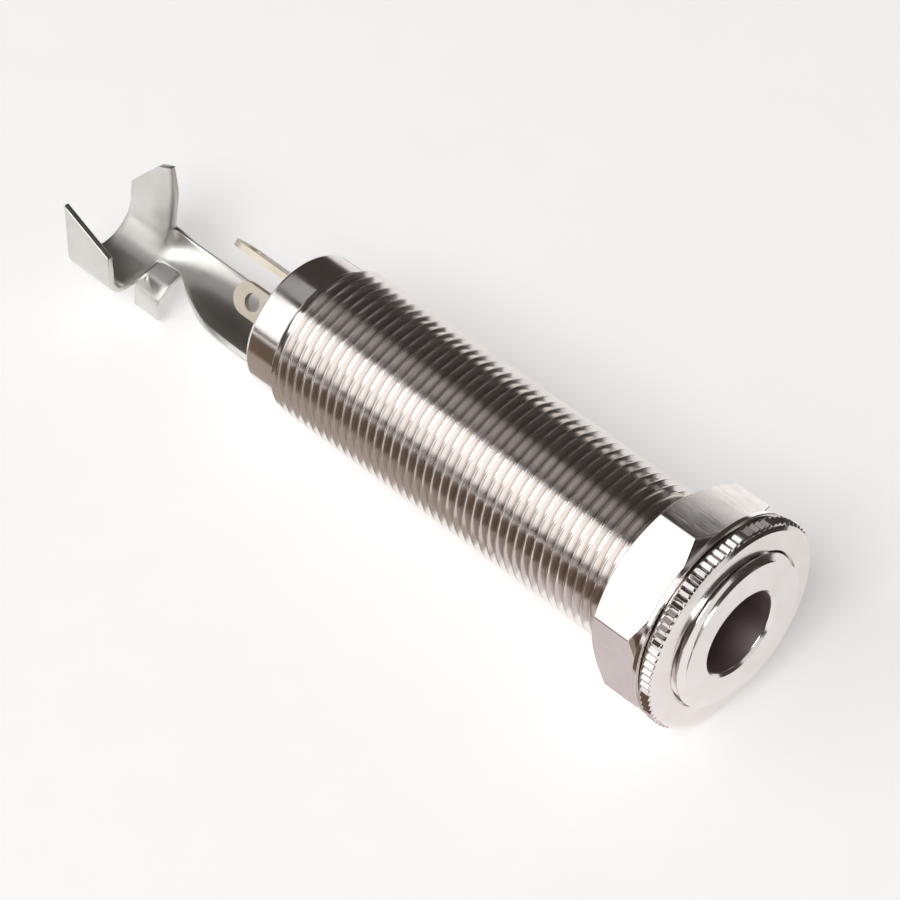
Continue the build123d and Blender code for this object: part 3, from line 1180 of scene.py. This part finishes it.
# %% Paint the CAD parts
finish_of = {
    "front_wafer": phenolic,
    "middle_wafer": phenolic,
    "rear_wafer": phenolic,
    "tip_spring": spring_bronze,
    "ring_spring": spring_bronze,
    "tip_terminal": tinned_lug,
    "ring_terminal": tinned_lug,
}
for node_name, material in finish_of.items():
    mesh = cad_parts[node_name].data
    mesh.materials.clear()
    mesh.materials.append(material)
print("painted", len(finish_of), "CAD parts")

# %% [markdown]
# ## The table
# The jack lies on a plain pale floor, which the nuts' rims touch. The floor is a matt white
# sheet. A glow that only the camera, mirrors and glass see keeps it near white, while the light
# on the jack stays as it is and the soft shadow remains.

# %% The floor
FLOOR_COLOURS = (0.86, 0.85, 0.85), (0.88, 0.87, 0.87)
FLOOR_GLOW = 0.42
floor_height = cad_low.z - 0.02 * MM


def build_floor_finish():
    """A matt white sheet that glows for the rays that look at it."""
    material, tree = new_material("white sheet")
    shader = tree.nodes["Principled BSDF"]
    shader.inputs["Roughness"].default_value = 0.9
    shader.inputs["Specular IOR Level"].default_value = 0.2
    grain = noise(tree, place_in_mm(tree), 0.25, 4.0)
    colour = blend_colours(tree, remap(tree, grain, 0.3, 0.7, 0.0, 1.0), *FLOOR_COLOURS)
    tree.links.new(colour, shader.inputs["Base Color"])
    path = add_node(tree, "ShaderNodeLightPath")
    seen = maths(tree, "MAXIMUM", path.outputs["Is Camera Ray"], path.outputs["Is Glossy Ray"])
    seen = maths(tree, "MAXIMUM", seen, path.outputs["Is Transmission Ray"])
    shader.inputs["Emission Color"].default_value = (1.0, 0.99, 0.985, 1)
    glow = maths(tree, "MULTIPLY", seen, FLOOR_GLOW)
    tree.links.new(glow, shader.inputs["Emission Strength"])
    return material


bm = bmesh.new()
bmesh.ops.create_grid(bm, x_segments=2, y_segments=2, size=3.0)
bmesh.ops.translate(bm, verts=bm.verts[:], vec=(0, 0, floor_height))
floor = mesh_object(bm, "floor", build_floor_finish())
floor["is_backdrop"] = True
print("floor at z in mm", round(floor_height / MM, 2))

# %% [markdown]
# ## Light
# Bright metal looks like what it reflects, so the light is two soft boxes in a dim room. A large
# box stands behind the jack on the left and gives the white band along the thread. A second one,
# high up in front, lights the floor, and the floor lights the nuts' faces. The room between them
# stays dim and makes the dark bands. A box is turned so that its long edge follows a given
# direction, since the edge of its reflection runs along the barrel.

# %% Soft boxes
middle = (cad_low + cad_high) / 2


def facing(across, up, toward, place):
    """The place and turn of something flat that looks toward a direction."""
    return Matrix.Translation(place) @ Matrix((across, up, toward)).transposed().to_4x4()


def soft_box(name, direction, distance, size, radiance, edge=(0, 0, 1)):
    """An area lamp that looks at the jack from a direction. A radiance of 1 looks white."""
    away = Vector(direction).normalized()
    across = Vector(edge).cross(away).normalized()
    data = bpy.data.lights.new(name, "AREA")
    data.shape = "RECTANGLE"
    data.size, data.size_y = size
    data.energy = radiance * math.pi * size[0] * size[1]
    lamp = new_object(name, data)
    lamp.matrix_world = facing(across, away.cross(across), away, middle + away * distance)
    print(name, "at mm", [round(c / MM) for c in lamp.location])


soft_box("left soft box", (-0.48, -0.70, 0.53), 0.6, (0.6, 0.56), 1.28, edge=(0, -0.6, -0.8))
soft_box("high soft box", (0.22, -0.62, 0.75), 1.1, (0.55, 0.55), 6.5)

# %% [markdown]
# ## Painted reflections
# Glowing panels stand round the jack, just outside the picture, like a photographer's cards, and
# paint dark and light shapes into its mirror reflections; they are no lamps. A dark one behind the
# thread's upper side and a brown one low on the left of its lower side are painted shade. A tan
# one, a pale one and a brown one lie on the floor beside the thread and paint the floor's shade and
# light into the reflections. White ones, painted highlights, stand where the hex nut's top flat,
# the nuts' rims and the thread's rear end look. Only mirror rays see the panels, so they throw no
# shadow and stay out of every picture.

# %% Painted reflections


def painted_reflection_finish(name, colour):
    """A panel that glows with its own colour, the same from everywhere, with a slight cloudiness: a
    painted reflection.
    """
    material, tree = new_material(name)
    tree.nodes.remove(tree.nodes["Principled BSDF"])
    glow = add_node(tree, "ShaderNodeEmission")
    cloud = remap(tree, noise(tree, place_in_mm(tree), 0.1), 0.3, 0.7, 0.0, 1.0)
    shaded = tuple(0.85 * channel for channel in colour)
    tree.links.new(blend_colours(tree, cloud, shaded, colour), glow.inputs["Color"])
    tree.links.new(glow.outputs["Emission"], tree.nodes["Material Output"].inputs["Surface"])
    return material


def painted_reflection_panel(name, centre, toward, size, colour):
    """A glowing panel of painted reflection, in mm. toward is the direction that it faces, size its
    width and height.
    """
    look = Vector(toward).normalized()
    across = Vector((-look.y, look.x, 0)).normalized() if look.z < 1 else Vector((1, 0, 0))
    bm = bmesh.new()
    bmesh.ops.create_grid(bm, x_segments=4, y_segments=2, size=0.5)
    bm.transform(Matrix.Diagonal((size[0] * MM, size[1] * MM, 1, 1)))
    bm.transform(facing(across, look.cross(across), look, Vector(centre) * MM))
    panel = mesh_object(bm, name, painted_reflection_finish(name, colour))
    for sight in ("visible_camera", "visible_diffuse", "visible_shadow", "visible_transmission"):
        setattr(panel, sight, False)
    panel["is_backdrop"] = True


WHITE = (0.9, 0.89, 0.88)
# Painted shade from the dark and brown panels, painted floor shade and light from the floor panels,
# painted highlights from the white ones.
painted_reflection_panel("dark card", (10.6, 40.9, 4), (-0.77, -0.64, 0), (67, 24), (0.05, 0.042, 0.038))
painted_reflection_panel("brown card", (-24.5, -18, -3.3), (0, 1, 0), (59, 9.6), (0.14, 0.095, 0.068))
painted_reflection_panel("tan card on the floor", (-33.5, -12, -8.14), (0, 0, 1), (41, 12), (0.42, 0.36, 0.32))
painted_reflection_panel("pale card on the floor", (-6.5, -14, -8.14), (0, 0, 1), (13, 16), (0.74, 0.68, 0.68))
painted_reflection_panel("brown card on the floor", (-33, 14, -8.14), (0, 0, 1), (56, 10), (0.52, 0.46, 0.42))
painted_reflection_panel("white card behind", (-25, 45, 4.5), (0, -1, 0), (18, 25), (1.25, 1.24, 1.23))
painted_reflection_panel("white card above", (35, 48, 26), (-0.6, -0.8, 0), (30, 20), WHITE)
painted_reflection_panel("white card in front", (55, 0, 20), (-1, 0, 0), (50, 40), WHITE)
painted_reflection_panel("white card at the rear", (-93, -19, 28), (0.88, 0.27, 0), (36, 30), WHITE)

# %% [markdown]
# ## The room
# The room is dim and warm all round, apart from a grey panel in the ceiling behind the jack,
# which makes the grey stripe above the thread's white band. The world's own direction, from
# Texture Coordinate, is compared with the panel's direction, and a soft step on the result draws
# the panel.

# %% The dim room
ROOM_COLOUR = (0.052, 0.043, 0.040)
PANEL_COLOUR = (0.36, 0.35, 0.35)
PANEL_TOWARD = (-0.48, 0.03, 0.877)


def build_room():
    """A dim world with one grey panel overhead."""
    world = bpy.data.worlds.new("dim room")
    world.use_nodes = True
    tree = world.node_tree
    sky = tree.nodes["Background"]
    direction = add_node(tree, "ShaderNodeTexCoord").outputs["Generated"]
    overhead = add_node(tree, "ShaderNodeVectorMath", operation="DOT_PRODUCT")
    overhead.inputs[1].default_value = PANEL_TOWARD
    tree.links.new(direction, overhead.inputs[0])
    panel = remap(tree, overhead.outputs["Value"], 0.968, 0.975, 0.0, 1.0)
    tree.links.new(blend_colours(tree, panel, ROOM_COLOUR, PANEL_COLOUR), sky.inputs["Color"])
    sky.inputs["Strength"].default_value = 1.0
    return world


bpy.context.scene.world = build_room()
bpy.context.scene.view_settings.view_transform = "Standard"

# %% [markdown]
# ## The camera
# The view is the photograph's: from the front and right of the jack's mouth, looking down at about
# 47 degrees through a long lens. Its place and its directions were worked out from the ellipses
# of the nuts and the barrel. A camera looks along its own minus Z, so that axis points backward.

# %% The camera
CAMERA_PLACE = Vector((111.59, -140.80, 206.67)) * MM
right = Vector((0.71214, 0.70204, 0)).normalized()
forward = Vector((-0.48240, 0.48935, -0.72652)).normalized()
camera_data = bpy.data.cameras.new("camera")
camera_data.sensor_width = 36
camera_data.lens = 164.1
camera_data.clip_start = 0.01
camera = new_object("camera", camera_data)
camera.matrix_world = facing(right, right.cross(forward), -forward, CAMERA_PLACE)
bpy.context.scene.camera = camera
print("camera looks along", [round(c, 3) for c in forward])

# %% [markdown]
# ## Compare the sizes
# The dressed model is meant to stay inside the CAD model's box, so both boxes are measured and
# compared, and the growth is printed.

# %% Compare the sizes and finish
low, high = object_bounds()
growth = [(a - b) / MM for a, b in zip(high - low, cad_high - cad_low)]
print("grown beyond the CAD box in mm:", [round(step, 3) for step in growth])
